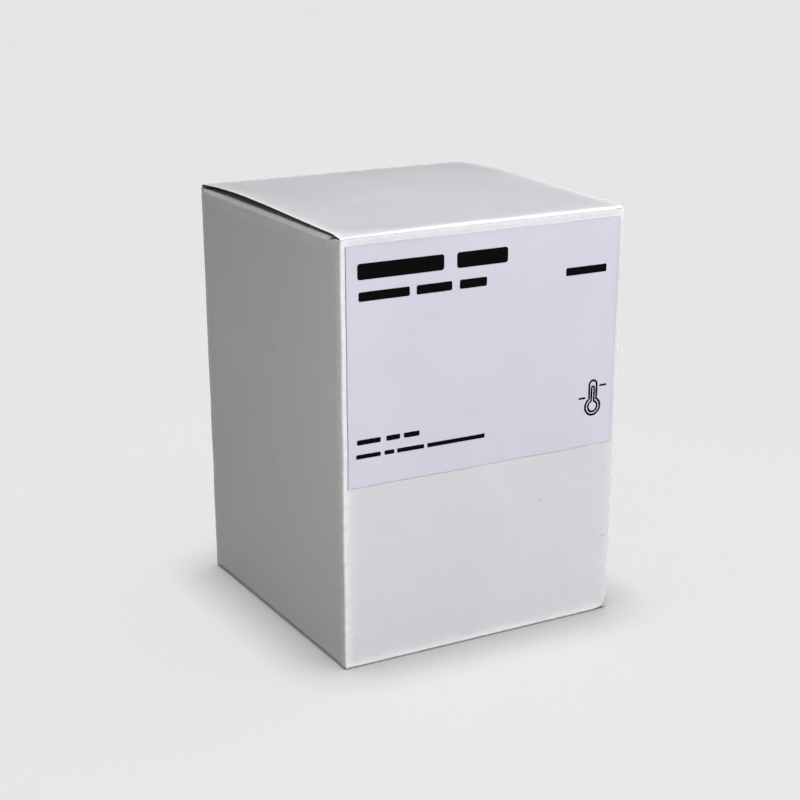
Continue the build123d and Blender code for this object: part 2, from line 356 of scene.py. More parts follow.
class Nodes:
    """A material being built out of nodes, with its shader and its object coordinates at hand."""

    def __init__(self, name):
        self.material = bpy.data.materials.new(name)
        self.material.use_nodes = True
        self.tree = self.material.node_tree
        self.shader = self.tree.nodes["Principled BSDF"]
        self.place = self.tree.nodes.new("ShaderNodeTexCoord").outputs["Object"]

    def node(self, kind, **inputs):
        """A new node with its inputs fed."""
        made = self.tree.nodes.new(kind)
        for name, value in inputs.items():
            self.feed(made.inputs[name.replace("_", " ")], value)
        return made

    def feed(self, socket, value):
        """Links a socket to another, or sets it to a value."""
        if isinstance(value, bpy.types.NodeSocket):
            self.tree.links.new(value, socket)
        else:
            socket.default_value = value

    def noise(self, scale, detail=3.0, roughness=0.55, stretch=(1, 1, 1)):
        """Noise from 0 to 1, with scale features to the metre."""
        mapping = self.node("ShaderNodeMapping", Vector=self.place, Scale=stretch)
        made = self.node(
            "ShaderNodeTexNoise",
            Vector=mapping.outputs["Vector"],
            Scale=scale,
            Detail=detail,
            Roughness=roughness,
        )
        return made.outputs["Fac"]

    def patches(self, scale, detail, low=0.35, high=0.65):
        """Noise with its middle band stretched to run from 0 to 1."""
        return self.between(self.noise(scale, detail), low, high)

    def between(self, value, low, high, to_low=0.0, to_high=1.0):
        """A value's run from low to high, stretched onto another run and held there."""
        made = self.node("ShaderNodeMapRange", Value=value, From_Min=low, From_Max=high)
        self.feed(made.inputs["To Min"], to_low)
        self.feed(made.inputs["To Max"], to_high)
        return made.outputs["Result"]

    def math(self, operation, a, b):
        """Arithmetic on two values."""
        made = self.tree.nodes.new("ShaderNodeMath")
        made.operation = operation
        self.feed(made.inputs[0], a)
        self.feed(made.inputs[1], b)
        return made.outputs["Value"]

    def plus(self, a, b):
        return self.math("ADD", a, b)

    def times(self, a, b):
        return self.math("MULTIPLY", a, b)

    def mix(self, share, a, b):
        """Colour a where share is 0, colour b where it is 1."""
        made = self.tree.nodes.new("ShaderNodeMix")
        made.data_type = "RGBA"
        for index, value in ((0, share), (6, a), (7, b)):
            self.feed(made.inputs[index], value)
        return made.outputs[2]

    def attribute(self, name):
        """A number that the mesh carries at its points."""
        made = self.tree.nodes.new("ShaderNodeAttribute")
        made.attribute_name = name
        return made.outputs["Fac"]

    def bump(self, height, distance, strength=1.0, under=None):
        """A bumped normal, on top of another where under is given."""
        made = self.node("ShaderNodeBump", Height=height, Distance=distance, Strength=strength)
        if under is not None:
            self.feed(made.inputs["Normal"], under)
        return made.outputs["Normal"]

    def finish(self, **inputs):
        """Feeds the shader's inputs and gives back the material."""
        for name, value in inputs.items():
            self.feed(self.shader.inputs[name.replace("_", " ")], value)
        return self.material


def grey(value, warm=0.0):
    """A near-neutral colour, warmer or (below 0) cooler."""
    return (value * (1 + warm), value, value * (1 - warm), 1.0)


def coated_board():
    """The clay-coated white outside of the board, rubbed brighter and rougher on its creases; the
    brightening is also a painted highlight.
    """
    m = Nodes("coated_board")
    cloud = m.patches(45, 4)
    fibre = m.between(m.noise(2600, 2, stretch=(1, 1, 0.35)), 0.3, 0.7)
    base = m.mix(cloud, (0.692, 0.699, 0.721, 1.0), (0.718, 0.725, 0.741, 1.0))
    base = m.mix(m.times(fibre, 0.10), base, grey(0.63, -0.01))
    speck = m.patches(420, 1, 0.80, 0.84)
    base = m.mix(m.times(speck, 0.55), base, grey(0.36, 0.04))
    # The creases are brightened: rubbed board, and a painted highlight along the folds.
    rub = m.patches(700, 3, 0.30, 0.62)
    wear_and_painted_light = m.times(m.attribute("wear_and_painted_light"), m.plus(m.times(rub, 0.5), 0.5))
    base = m.mix(m.times(wear_and_painted_light, 0.95), base, grey(0.955, 0.0))
    rough = m.plus(m.between(cloud, 0, 1, 0.40, 0.50), m.times(wear_and_painted_light, 0.25))
    tooth = m.bump(m.noise(3200, 3), 0.00003, 0.55)
    waves = m.bump(m.noise(130, 3), 0.00022, 0.5, tooth)
    return m.finish(Base_Color=base, Roughness=rough, Normal=waves)


def board_back():
    """The uncoated inside of the board: greyer, with longer fibres."""
    m = Nodes("board_back")
    cloud = m.patches(60, 4)
    fibre = m.between(m.noise(900, 5, 0.7, stretch=(1, 0.3, 1)), 0.35, 0.65)
    base = m.mix(cloud, grey(0.50, 0.045), grey(0.56, 0.04))
    base = m.mix(m.times(fibre, 0.25), base, grey(0.38, 0.05))
    return m.finish(
        Base_Color=base,
        Roughness=m.between(fibre, 0, 1, 0.78, 0.92),
        Normal=m.bump(m.noise(1800, 4, 0.7), 0.00006, 0.7),
    )


def board_core(name, dark, light):
    """The cut edge of the board, with its plies of fibre."""
    m = Nodes(name)
    fibre = m.between(m.noise(2400, 4, 0.7), 0.3, 0.7)
    base = m.mix(fibre, grey(dark, 0.04), grey(light, 0.03))
    return m.finish(
        Base_Color=base,
        Roughness=m.between(fibre, 0, 1, 0.85, 0.95),
        Normal=m.bump(m.noise(3000, 3), 0.00008, 0.8),
    )


def label_paper(name, tint):
    """Smooth label stock in a tint, with specks, and edges darkened by dirt and a painted shade."""
    m = Nodes(name)
    cloud = m.patches(55, 4)
    fine = m.patches(2400, 2, 0.3, 0.7)
    light = tuple(0.72 * c for c in tint) + (1.0,)
    dark = tuple(0.69 * c for c in tint) + (1.0,)
    base = m.mix(cloud, dark, light)
    base = m.mix(m.times(fine, 0.06), base, (0.60, 0.58, 0.63, 1.0))
    speck = m.patches(330, 1, 0.82, 0.85)
    base = m.mix(m.times(speck, 0.5), base, grey(0.42, 0.02))
    # The edges are darkened: dirt, and a painted shade along the cut edge.
    edge = m.times(m.attribute("wear_and_painted_light"), m.between(m.noise(500, 3), 0.3, 0.6, 0.35, 1.0))
    base = m.mix(m.times(edge, 0.55), base, grey(0.52, -0.02))
    rough = m.between(cloud, 0, 1, 0.38, 0.46)
    tooth = m.bump(m.noise(2600, 3), 0.00002, 0.5)
    waves = m.bump(m.noise(95, 2), 0.00020, 0.5, tooth)
    return m.finish(Base_Color=base, Roughness=rough, Normal=waves)


def print_black():
    """Toner, a little broken up where it sits on the paper's tooth."""
    m = Nodes("print_black")
    fine = m.patches(3000, 3, 0.35, 0.75)
    base = m.mix(fine, (0.001, 0.001, 0.001, 1.0), (0.004, 0.004, 0.005, 1.0))
    return m.finish(
        Base_Color=base,
        Specular_IOR_Level=0.03,
        Roughness=m.between(fine, 0, 1, 0.6, 0.8),
        Normal=m.bump(m.noise(3500, 2), 0.00001, 0.5),
    )


def bottle_glass():
    """Pressed soda glass, very slightly wavy, faintly green."""
    m = Nodes("clear_glass")
    waves = m.bump(m.noise(90, 2), 0.00025, 0.35)
    return m.finish(
        Base_Color=(0.93, 0.97, 0.955, 1.0),
        Roughness=m.between(m.noise(200, 2), 0.3, 0.7, 0.0, 0.02),
        IOR=1.52,
        Transmission_Weight=1.0,
        Normal=waves,
    )


def ink_black():
    """Carbon ink: near black, glossy, with a faint blue-brown drift where it settles."""
    m = Nodes("carbon_ink")
    drift = m.patches(70, 3)
    base = m.mix(drift, (0.006, 0.006, 0.010, 1.0), (0.014, 0.012, 0.013, 1.0))
    return m.finish(
        Base_Color=base,
        Roughness=m.between(drift, 0, 1, 0.12, 0.18),
        Specular_IOR_Level=0.2,
        IOR=1.34,
    )


def cap_plastic():
    """Moulded black polypropylene with a fine spark-eroded grain, polished by fingers in places."""
    m = Nodes("cap_plastic")
    grain = m.noise(2300, 2)
    handled = m.patches(120, 3, 0.4, 0.65)
    base = m.mix(handled, (0.016, 0.016, 0.018, 1.0), (0.026, 0.026, 0.028, 1.0))
    return m.finish(
        Base_Color=base,
        Roughness=m.between(handled, 0, 1, 0.48, 0.34),
        Normal=m.bump(grain, 0.00006, 0.6),
    )


def liner_foam():
    """Foamed polyethylene: white, with small open cells."""
    m = Nodes("liner_foam")
    cells = m.tree.nodes.new("ShaderNodeTexVoronoi")
    m.feed(cells.inputs["Vector"], m.place)
    m.feed(cells.inputs["Scale"], 1600)
    depth = cells.outputs["Distance"]
    # The cells' pits are painted darker than their rims: a painted shade in the hollows.
    base = m.mix(m.between(depth, 0.0, 0.7), grey(0.74, 0.01), grey(0.88, 0.01))
    return m.finish(Base_Color=base, Roughness=0.75, Normal=m.bump(depth, 0.00008, 0.7))


def seam_glue():
    """Dried dispersion glue: milky, uneven where it was pressed."""
    m = Nodes("seam_glue")
    blotch = m.patches(260, 4)
    base = m.mix(blotch, grey(0.62, 0.09), grey(0.80, 0.05))
    return m.finish(
        Base_Color=base,
        Roughness=m.between(blotch, 0, 1, 0.30, 0.50),
        Normal=m.bump(m.noise(500, 3), 0.00005, 0.6),
    )


def floor_card():
    """The pale studio surface."""
    m = Nodes("floor_card")
    base = m.mix(m.noise(6, 3), grey(0.345), grey(0.355))
    return m.finish(Base_Color=base, Roughness=0.9, Specular_IOR_Level=0.1)


COATED, BACK = coated_board(), board_back()
BOARD_SIDES = [COATED, BACK, board_core("board_core", 0.56, 0.74)]
# The lid's cut edges get a near-black core: a painted shade that keeps the gap under the lid's edge
# dark.
LID_SIDES = [COATED, BACK, board_core("shade_black_board_core", 0.05, 0.12)]
LABEL = label_paper("label_paper", (0.985, 0.962, 1.093))
PRINT = print_black()


# The sleeve: one blank, folded four times and glued inside the back right corner

# How steeply the glue flap's ends slope, and half the length of a wall's step at a crease's end
GLUE_TAPER = 0.27
CREASE_END = 0.05

# A wall's rows of points, as shares of its height: closer together at its foot and its head
LEVEL_INSETS = (0.0, 0.004, 0.01, 0.02)
LEVEL_MARGIN = 0.035

# The glue film: the spacing of its points, and how its rim is drawn in and waves
SEAM_STEP_Y = 1.0
SEAM_STEP_Z = 2.0
SEAM_RIM = 1.2
SEAM_DRAW = 0.8
SEAM_WAVE = 0.25
SEAM_WAVE_SIZE = 4


class Stretch:
    """A straight run of the sleeve in plan, with the heights of its foot and head at a point."""

    def __init__(self, start, end, foot, head):
        self.start, self.end = Vector(start), Vector(end)
        self.foot, self.head = foot, head
        self.along = (self.end - self.start).normalized()
        self.outward = Vector((self.along.y, -self.along.x))


def level(height):
    """A foot or a head that is at one height all along."""
    return lambda p: height


def glue_foot(p):
    return flap_low.z + max(0.0, flap_high.y - p.y) * GLUE_TAPER


def glue_head(p):
    return flap_high.z - max(0.0, flap_high.y - p.y) * GLUE_TAPER


def creased(y, low, high):
    """1 along a dust flap's crease, 0 beyond its ends."""
    return smooth(-CREASE_END, CREASE_END, y - low) * smooth(-CREASE_END, CREASE_END, high - y)


def side_foot(p):
    return SIDE_FOOT + FOLD_RADIUS * creased(p.y, -dust_high.y, -dust_low.y)


def side_head(p):
    return SIDE_HEAD - FOLD_RADIUS * creased(p.y, dust_low.y, dust_high.y)


def sleeve_stretches():
    """The glue flap, then the back, left, front and right walls."""
    glue_face = flap_high.x
    back_head, front_head = level(TOP - FOLD_RADIUS), level(front_high.z)
    return [
        Stretch((glue_face, flap_low.y), (glue_face, HALF), glue_foot, glue_head),
        Stretch((glue_face, HALF), (-HALF, HALF), level(0.0), back_head),
        Stretch((-HALF, HALF), (-HALF, -HALF), side_foot, side_head),
        Stretch((-HALF, -HALF), (HALF, -HALF), level(FOLD_RADIUS), front_head),
        Stretch((HALF, -HALF), (HALF, HALF), side_foot, side_head),
    ]


def fold_columns(before, after):
    """The sleeve's upright lines round the fold between two stretches."""
    centre = before.end - before.along * FOLD_RADIUS - before.outward * FOLD_RADIUS
    columns = []
    for step in range(1, FOLD_STEPS):
        turn = step / FOLD_STEPS * pi / 2
        ray = before.outward * cos(turn) + before.along * sin(turn)
        outer = centre + ray * FOLD_RADIUS
        inner = centre + ray * (FOLD_RADIUS - BOARD)
        owner, edge = (before, before.end) if step <= FOLD_STEPS // 2 else (after, after.start)
        columns.append((outer, inner, owner.foot(edge), owner.head(edge)))
    return columns


def sleeve_columns(runs):
    """Every upright line of the sleeve: its outer and inner x and y, its foot and its head."""
    columns = []
    for index, run in enumerate(runs):
        first, last = index == 0, index == len(runs) - 1
        length = (run.end - run.start).length
        begin = 0 if first else FOLD_RADIUS
        finish = length if last else length - FOLD_RADIUS
        for distance in spread(begin, finish):
            at = run.start + run.along * distance
            columns.append((at, at - run.outward * BOARD, run.foot(at), run.head(at)))
        if not last:
            columns += fold_columns(run, runs[index + 1])
    return columns


def make_sleeve():
    """The four walls and the glue flap, as one folded piece."""
    levels = edged(0, 1, LEVEL_INSETS, LEVEL_MARGIN, CELL / TOP)
    outer, inner = [], []
    for out, back, foot, head in sleeve_columns(sleeve_stretches()):
        heights = [foot + (head - foot) * share for share in levels]
        outer.append([(out.x, out.y, z) for z in heights])
        inner.append([(back.x, back.y, z) for z in heights])
    piece = slab("carton_sleeve", outer, inner, BOARD_SIDES)
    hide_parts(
        "front_panel", "left_side_panel", "back_panel", "right_side_panel", "glue_flap"
    )
    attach(piece, "sleeve")


def make_seam():
    """The glue film between the glue flap and the right side wall, its rim squeezed unevenly."""
    low, high = millimetre_box("seam_adhesive")
    middle = (low.z + high.z) / 2
    heights = spread(low.z, high.z, SEAM_STEP_Z)
    outer, inner = [], []
    for y in spread(low.y, high.y, SEAM_STEP_Y):
        rim = smooth(0.0, SEAM_RIM, min(y - low.y, high.y - y))
        drawn = [z + (1 - rim) * (1 if z < middle else -1) * SEAM_DRAW for z in heights]
        waved = [(y + SEAM_WAVE * wander(0, y, z, SEAM_WAVE_SIZE), z) for z in drawn]
        outer.append([(high.x, along, z) for along, z in waved])
        inner.append([(low.x, along, z) for along, z in waved])
    glue = seam_glue()
    piece = slab("seam_glue_film", outer, inner, [glue] * 3)
    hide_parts("seam_adhesive")
    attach(piece, "sleeve")


# Creases: strips of board curved round a fold between two bodies


class Crease:
    """A fold line: its faces' corner, the direction it runs in and where each face leaves it."""

    def __init__(self, corner, run, first, second):
        self.corner, self.run = Vector(corner), Vector(run)
        self.first, self.second = Vector(first).normalized(), Vector(second).normalized()
        half_angle = self.first.angle(self.second) / 2
        inwards = (self.first + self.second).normalized()
        self.reach = FOLD_RADIUS / tan(half_angle)
        self.centre = self.corner + inwards * FOLD_RADIUS / sin(half_angle)
        self.ray_first = (self.corner + self.first * self.reach - self.centre).normalized()
        self.ray_second = (self.corner + self.second * self.reach - self.centre).normalized()

    def point(self, share, radius, offset):
        """A point at a share of the way round, at a radius and an offset along the fold."""
        ray = self.ray_first.slerp(self.ray_second, share)
        return self.centre + ray * radius + self.run * offset


def make_crease(name, body_a, body_b, crease, start, end):
    """A crease's strip of board, curved round the fold between its two bodies."""
    shares = [k / FOLD_STEPS for k in range(FOLD_STEPS + 1)]
    offsets = spread(start, end)
    outer = [[crease.point(s, FOLD_RADIUS, o) for o in offsets] for s in shares]
    inner = [[crease.point(s, FOLD_RADIUS - BOARD, o) for o in offsets] for s in shares]
    piece = slab(name, outer, inner, BOARD_SIDES)
    middle = len(offsets) // 2
    first, last = settle(outer[0][middle]), settle(outer[-1][middle])
    span = last - first
    held = (settle(inner[0][middle]) - first).dot(span) / span.length_squared
    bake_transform(piece)


# The closed ends: a closing panel, its tuck flap and two dust flaps

# How far the lid has sprung up at its highest, and the factor that makes a cubic's peak 1
LID_RISE = 0.8
PEAK_OF_ONE = 6.75

# The shares of a panel's length over which its direction at a crease and at a point are taken
CREASE_SHARE = 0.02
SLOPE_SHARE = 0.001

# A closing panel's side edges: their points, how far and how wide they are crushed, and how far
# from its hinge and its fold they keep their thickness
PANEL_INSETS = (0.0, 0.35, 0.8)
PANEL_MARGIN = 1.4
CRUSH = 0.65
CRUSH_WIDTH = 1.4
HINGE_HOLD = 7.0
FOLD_HOLD = 4.0

# The crease at a closing panel's tuck fold runs almost from wall to wall inside the sleeve
FOLD_CLEARANCE = 0.05
FOLD_HALF = HALF - BOARD - FOLD_CLEARANCE

# The tuck flap narrows towards its free edge, where its corners are round
TUCK_LENGTH = 10.0
TUCK_LEAN = radians(6.5)
TUCK_TAPER = 1.5
TUCK_CORNER = 4.0
TUCK_CORNER_STEPS = 10
TUCK_STEP = 1.0
TUCK_CROSS_STEP = 0.05

# The dust flaps' back edges slope, and their corners are round
DUST_REACH = dust_high.x + HALF
DUST_SLOPE = 0.95
DUST_CORNER = 2.5
DUST_CORNER_STEPS = 8
DUST_CROSS_STEP = 0.03


class End:
    """One closed end of the carton, made in a frame with its hinge at the back and up outwards."""

    def __init__(self, top):
        self.top = top
        self.prefix = "" if top else "bottom_"
        self.panel = "lid" if top else "bottom"
        self.panel_node = "lid" if top else "bottom_panel"
        self.tuck = self.panel + "_tuck"
        self.rise = LID_RISE if top else 0.0
        self.panel_sides = LID_SIDES if top else BOARD_SIDES
        self.dust_head = SIDE_HEAD if top else TOP - SIDE_FOOT
        self.dust_ends = (dust_low.y, dust_high.y) if top else (-dust_high.y, -dust_low.y)

    def place(self, p):
        """From the end's own frame to the carton's."""
        if self.top:
            return Vector(p)
        return Vector((p[0], -p[1], TOP - p[2]))

    def profile(self, share):
        """The panel's outside, from its hinge (0) to its tuck fold (1): y and z."""
        rise = self.rise * PEAK_OF_ONE * share * (1 - share) ** 2
        return HALF + (FOLD_Y - HALF) * share, TOP + rise

    def crease(self, corner, run, first, second):
        """A crease from its corner and a point on each of its faces, in the end's own frame."""
        start = self.place(corner)
        return Crease(start, run, self.place(first) - start, self.place(second) - start)


def make_closing_panel(end, hinge, fold):
    """The lid or the bottom, between the crease of its hinge and that of its tuck fold."""
    span = HALF - FOLD_Y
    first = hinge.reach / span
    last = 1 - fold.reach / span
    widths = edged(-LID_HALF, LID_HALF, PANEL_INSETS, PANEL_MARGIN)
    outer, inner = [], []
    for share in spread(first, last, CELL / span):
        y, z = end.profile(share)
        ahead, behind = end.profile(share + SLOPE_SHARE), end.profile(share - SLOPE_SHARE)
        slope = (ahead[1] - behind[1]) / (ahead[0] - behind[0])
        up = Vector((0, -slope, 1)).normalized()
        off_hinge = smooth(0.0, HINGE_HOLD, (share - first) * span)
        held = 1 - off_hinge * smooth(0.0, FOLD_HOLD, (last - share) * span)
        outer.append([end.place((x, y, z)) for x in widths])
        inner.append([])
        for x in widths:
            crushed = (1 - smooth(0.0, CRUSH_WIDTH, LID_HALF - abs(x))) * (1 - held)
            under = Vector((x, y, z)) - up * BOARD * (1 - CRUSH * crushed)
            inner[-1].append(end.place(under))
    piece = slab(end.panel + "_board", outer, inner, end.panel_sides)
    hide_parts(end.panel_node)
    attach(piece, end.panel)


def towards_corner(start, end, radius, corner_steps, step=CELL):
    """Distances from start to end, even up to a round corner and closer together round it."""
    arc = [end - radius + radius * sin(turn) for turn in quarter(corner_steps)]
    return sorted({*spread(start, end - radius, step), *arc})


def corner_inset(distance, end, radius):
    """How far a round corner draws a side in, at a distance towards the end."""
    into = max(0.0, distance - (end - radius))
    return radius - sqrt(max(0.0, radius ** 2 - into ** 2))


def make_tuck_flap(end, fold):
    """The flap at a closing panel's free edge, leaning in behind the wall."""
    run = Vector((1, 0, 0))
    along = Vector((0, sin(TUCK_LEAN), -cos(TUCK_LEAN)))
    outward = Vector((0, -cos(TUCK_LEAN), -sin(TUCK_LEAN)))
    outer, inner = [], []
    for distance in towards_corner(fold.reach, TUCK_LENGTH, TUCK_CORNER, TUCK_CORNER_STEPS, TUCK_STEP):
        half = TUCK_HALF - TUCK_TAPER * distance / TUCK_LENGTH
        half -= corner_inset(distance, TUCK_LENGTH, TUCK_CORNER)
        at = Vector((0, FOLD_Y, TOP)) + along * distance
        line = [at + run * half * t for t in spread(-1, 1, TUCK_CROSS_STEP)]
        outer.append([end.place(p) for p in line])
        inner.append([end.place(p - outward * BOARD) for p in line])
    piece = slab(end.prefix + "tuck_board", outer, inner, BOARD_SIDES)
    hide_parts(end.tuck + "_flap")
    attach(piece, end.tuck)


def make_dust_flap(end, side, word):
    """A flap folded in from a side wall, with its crease."""
    name = f"{end.prefix}{word}_dust"
    head = end.dust_head
    outside, inside = side * HALF, side * (HALF - 1)
    fold = end.crease((outside, 0, head), (0, 1, 0), (outside, 0, head - 1), (inside, 0, head))
    make_crease(name + "_crease", "sleeve", name, fold, *end.dust_ends)
    outer, inner = [], []
    for distance in towards_corner(FOLD_RADIUS, DUST_REACH, DUST_CORNER, DUST_CORNER_STEPS):
        rounding = corner_inset(distance, DUST_REACH, DUST_CORNER)
        low = dust_low.y + rounding
        high = dust_high.y - DUST_SLOPE * distance - rounding
        x = side * (HALF - distance)
        ys = [low + (high - low) * t for t in spread(0, 1, DUST_CROSS_STEP)]
        outer.append([end.place((x, y, head)) for y in ys])
        inner.append([end.place((x, y, head - BOARD)) for y in ys])
    piece = slab(name + "_board", outer, inner, BOARD_SIDES)
    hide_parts(name + "_flap")
    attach(piece, name)


def make_closed_end(end):
    """A closing panel with its two creases, its tuck flap, and the two dust flaps."""
    run = (1, 0, 0)
    hinge_corner, fold_corner = (0, HALF, TOP), (0, FOLD_Y, TOP)
    tucked = (0, FOLD_Y + sin(TUCK_LEAN), TOP - cos(TUCK_LEAN))
    near, far = end.profile(CREASE_SHARE), end.profile(1 - CREASE_SHARE)
    hinge = end.crease(hinge_corner, run, (0, HALF, TOP - 1), (0, *near))
    fold = end.crease(fold_corner, run, (0, *far), tucked)
    make_crease(end.panel + "_crease", "sleeve", end.panel, hinge, -LID_HALF, LID_HALF)
    make_closing_panel(end, hinge, fold)
    make_crease(end.prefix + "tuck_crease", end.panel, end.tuck, fold, -FOLD_HALF, FOLD_HALF)
    make_tuck_flap(end, fold)
    make_dust_flap(end, -1, "left")
    make_dust_flap(end, 1, "right")


# The front label and its print

# The label's points at its edges, and how its cut wanders and its edge lifts off the wall
LABEL_INSETS = (0.0, 0.08, 0.2, 0.5)
LABEL_MARGIN = 1.5
LABEL_EDGE_REACH = 0.22
CUT_POWER = 8
CUT_SEED = 5
SIDE_CUT = 0.10
SIDE_CUT_SIZE = 14
END_CUT = 0.16
END_CUT_SIZE = 11
LABEL_GAP = 0.015
LABEL_LIFT = 0.05
LIFT_SIZE = 6
LIFT_SEED = 3

# How far the label's face stands off the wall, and how far print stands off the label and into it
PRINT_PROUD = 0.135
PRINT_THICKNESS = 0.02
LINE_DEPTH = 0.1

# A bar's corners, as a share of its height, and the spacing of its points
BAR_CORNER = 0.18
BAR_CORNER_STEPS = 5
BAR_STEP = 2.0

# The label's print: for each line its height on the wall, the height of its bars, and where each
# bar starts and ends
LABEL_LINES = (
    (75.4, 2.9, ((-26.6, -9.2), (-6.5, 4.2))),
    (70.9, 1.7, ((-26.4, -16.2), (-14.8, -7.5), (-5.9, -0.2))),
    (70.6, 1.5, ((17.1, 26.2),)),
    (44.1, 0.95, ((-27.0, -22.2), (-21.0, -18.2), (-17.4, -14.2))),
    (41.4, 0.80, ((-27.2, -22.2), (-21.4, -19.4), (-18.8, -13.2), (-12.5, -0.2))),
)

# The thermometer sign: foot, bulb radius, stem radius, head and width of its outer and its inner
# line, and its tick marks, as lines of one bar each
THERMOMETER_X = 24.3
THERMOMETER_LINES = (
    (41.7, 1.70, 0.86, 48.6, 0.40),
    (42.35, 1.05, 0.30, 47.4, 0.36),
)
BULB_STEPS = 24
STEM_STEPS = 12
TICK_LINES = (
    (45.3, 0.36, ((21.0, 22.6),)),
    (47.4, 0.36, ((25.8, 27.4),)),
)


def front_point(x, z, proud):
    """A point over the front wall, in metres: it follows the wall's slack."""
    at = Vector((x, -HALF, z))
    return (at + slack(at) + Vector((0, -proud, 0))) * MM


def label_edge_falloff(x, z):
    """1 on the label's edges, falling to 0 within a millimetre."""
    near = min(x - label_low.x, label_high.x - x, z - label_low.z, label_high.z - z)
    return exp(-max(0.0, near) / LABEL_EDGE_REACH)


def wandering_cut(x, z):
    """A point of the label, moved where it is near an edge because the cut isn't quite straight."""
    side = (x - label_low.x) / (label_high.x - label_low.x) * 2 - 1
    tall = (z - label_low.z) / (label_high.z - label_low.z) * 2 - 1
    sideways = side ** CUT_POWER * SIDE_CUT * wander(side * CUT_SEED, 0, z, SIDE_CUT_SIZE)
    upwards = tall ** CUT_POWER * END_CUT * wander(x, tall * CUT_SEED, 0, END_CUT_SIZE)
    return x + sideways * side_of(side), z + upwards


def label_lift(x, z):
    """How far the label stands off the wall: its edges lift a little, here and there."""
    lifted = 0.5 + 0.5 * wander(x, LIFT_SEED, z, LIFT_SIZE)
    return LABEL_GAP + LABEL_LIFT * label_edge_falloff(x, z) * lifted


def make_label():
    """The paper label on the front wall."""
    thickness = label_high.y - label_low.y
    xs = edged(label_low.x, label_high.x, LABEL_INSETS, LABEL_MARGIN)
    zs = edged(label_low.z, label_high.z, LABEL_INSETS, LABEL_MARGIN)

    def sheet(above):
        return [[(*wandering_cut(x, z), label_lift(x, z) + above) for z in zs] for x in xs]

    # The label's edge mask, which carries dirt and a painted shade in its material.
    def wear_and_painted_light(p):
        return label_edge_falloff(p[0], p[1])

    def shape(p):
        return front_point(*p)

    piece = slab("front_label_paper", sheet(thickness), sheet(0.0), [LABEL] * 3, wear_and_painted_light, shape)
    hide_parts("front_label")
    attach(piece, "sleeve")


def layer(work, rows, place, proud):
    """Vertices for rows of (x, z) across the paper, at one height off it."""
    return [[work.verts.new(place(x, z, proud)) for x, z in row] for row in rows]


def print_patch(work, rows, place=front_point, paper=PRINT_PROUD):
    """A thin raised patch of print, from rows of (x, z) across the paper."""
    top = layer(work, rows, place, paper + PRINT_THICKNESS)
    base = layer(work, rows, place, paper - PRINT_THICKNESS)
    close_sheet(work, top, base)


def bar(work, left, right, middle, height):
    """A word's worth of print: a plain bar with rounded corners."""
    radius = min(height * BAR_CORNER, (right - left) / 4)
    ends = [radius * (1 - cos(turn)) for turn in quarter(BAR_CORNER_STEPS)[:-1]]
    xs = edged(left, right, ends, radius, BAR_STEP)
    rows = []
    for x in xs:
        into = max(0.0, radius - min(x - left, right - x))
        half = height / 2 - radius + sqrt(max(0.0, radius ** 2 - into ** 2))
        rows.append([(x, middle + half * t) for t in (-1, 0, 1)])
    print_patch(work, rows)


def print_lines(work, lines):
    """The bars of some lines of print."""
    for middle, height, bars in lines:
        for left, right in bars:
            bar(work, left, right, middle, height)


def outline(work, points, width):
    """A closed raised line of print along a list of points."""
    ring = []
    for k, (x, z) in enumerate(points):
        before, after = Vector(points[k - 1]), Vector(points[(k + 1) % len(points)])
        tangent = (after - before).normalized()
        normal = Vector((tangent.y, -tangent.x))
        ring.append([(x + normal.x * width / 2 * s, z + normal.y * width / 2 * s) for s in (-1, 1)])
    top = layer(work, ring, front_point, PRINT_PROUD + PRINT_THICKNESS)
    base = layer(work, ring, front_point, PRINT_PROUD - LINE_DEPTH)
    for k in range(len(ring)):
        m = (k + 1) % len(ring)
        work.faces.new((top[k][0], top[m][0], top[m][1], top[k][1]))
        work.faces.new((base[k][0], base[k][1], base[m][1], base[m][0]))
        for s in (0, 1):
            work.faces.new((top[k][s], top[m][s], base[m][s], base[k][s]))


def thermometer_outline(foot, bulb, stem, head):
    """A round bulb with a round-ended stem, as points counter-clockwise."""
    neck = stem / bulb
    points = []
    for k in range(BULB_STEPS + 1):
        turn = pi / 2 + neck + (2 * pi - 2 * neck) * k / BULB_STEPS
        points.append((THERMOMETER_X + bulb * cos(turn), foot + bulb + bulb * sin(turn)))
    for k in range(STEM_STEPS + 1):
        turn = pi * k / STEM_STEPS
        points.append((THERMOMETER_X + stem * cos(turn), head - stem + stem * sin(turn)))
    return points


def make_print():
    """Plain bars where the label's words stand, and a thermometer sign without figures."""
    work = bmesh.new()
    print_lines(work, LABEL_LINES)
    for foot, bulb, stem, head, width in THERMOMETER_LINES:
        outline(work, thermometer_outline(foot, bulb, stem, head), width)
    print_lines(work, TICK_LINES)
    piece = new_piece("front_label_print", work, [PRINT])
    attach(piece, "sleeve")


# The bottle, its ink, its label and its cap

# Print on the bottle's label, as on the front label, with places measured round the paper
BOTTLE_LINES = (
    (36.5, 2.9, ((-13.0, -2.0), (1.0, 13.0))),
    (31.5, 1.5, ((-13.0, -5.0), (-3.5, 4.0))),
    (20.5, 0.8, ((-13.0, -6.0), (-5.0, 3.0))),
    (18.0, 0.8, ((-13.0, -3.0),)),
)
BOTTLE_PRINT_PROUD = 0.01
BOTTLE_PRINT_STEP = 0.8

# Sides of a turned body
LATHE_SIDES = 96

# The inside of the glass: where its shoulder starts, below the lip, and the shoulder's radius
SHOULDER_DROP = 20.5
SHOULDER_ARC = 7.8

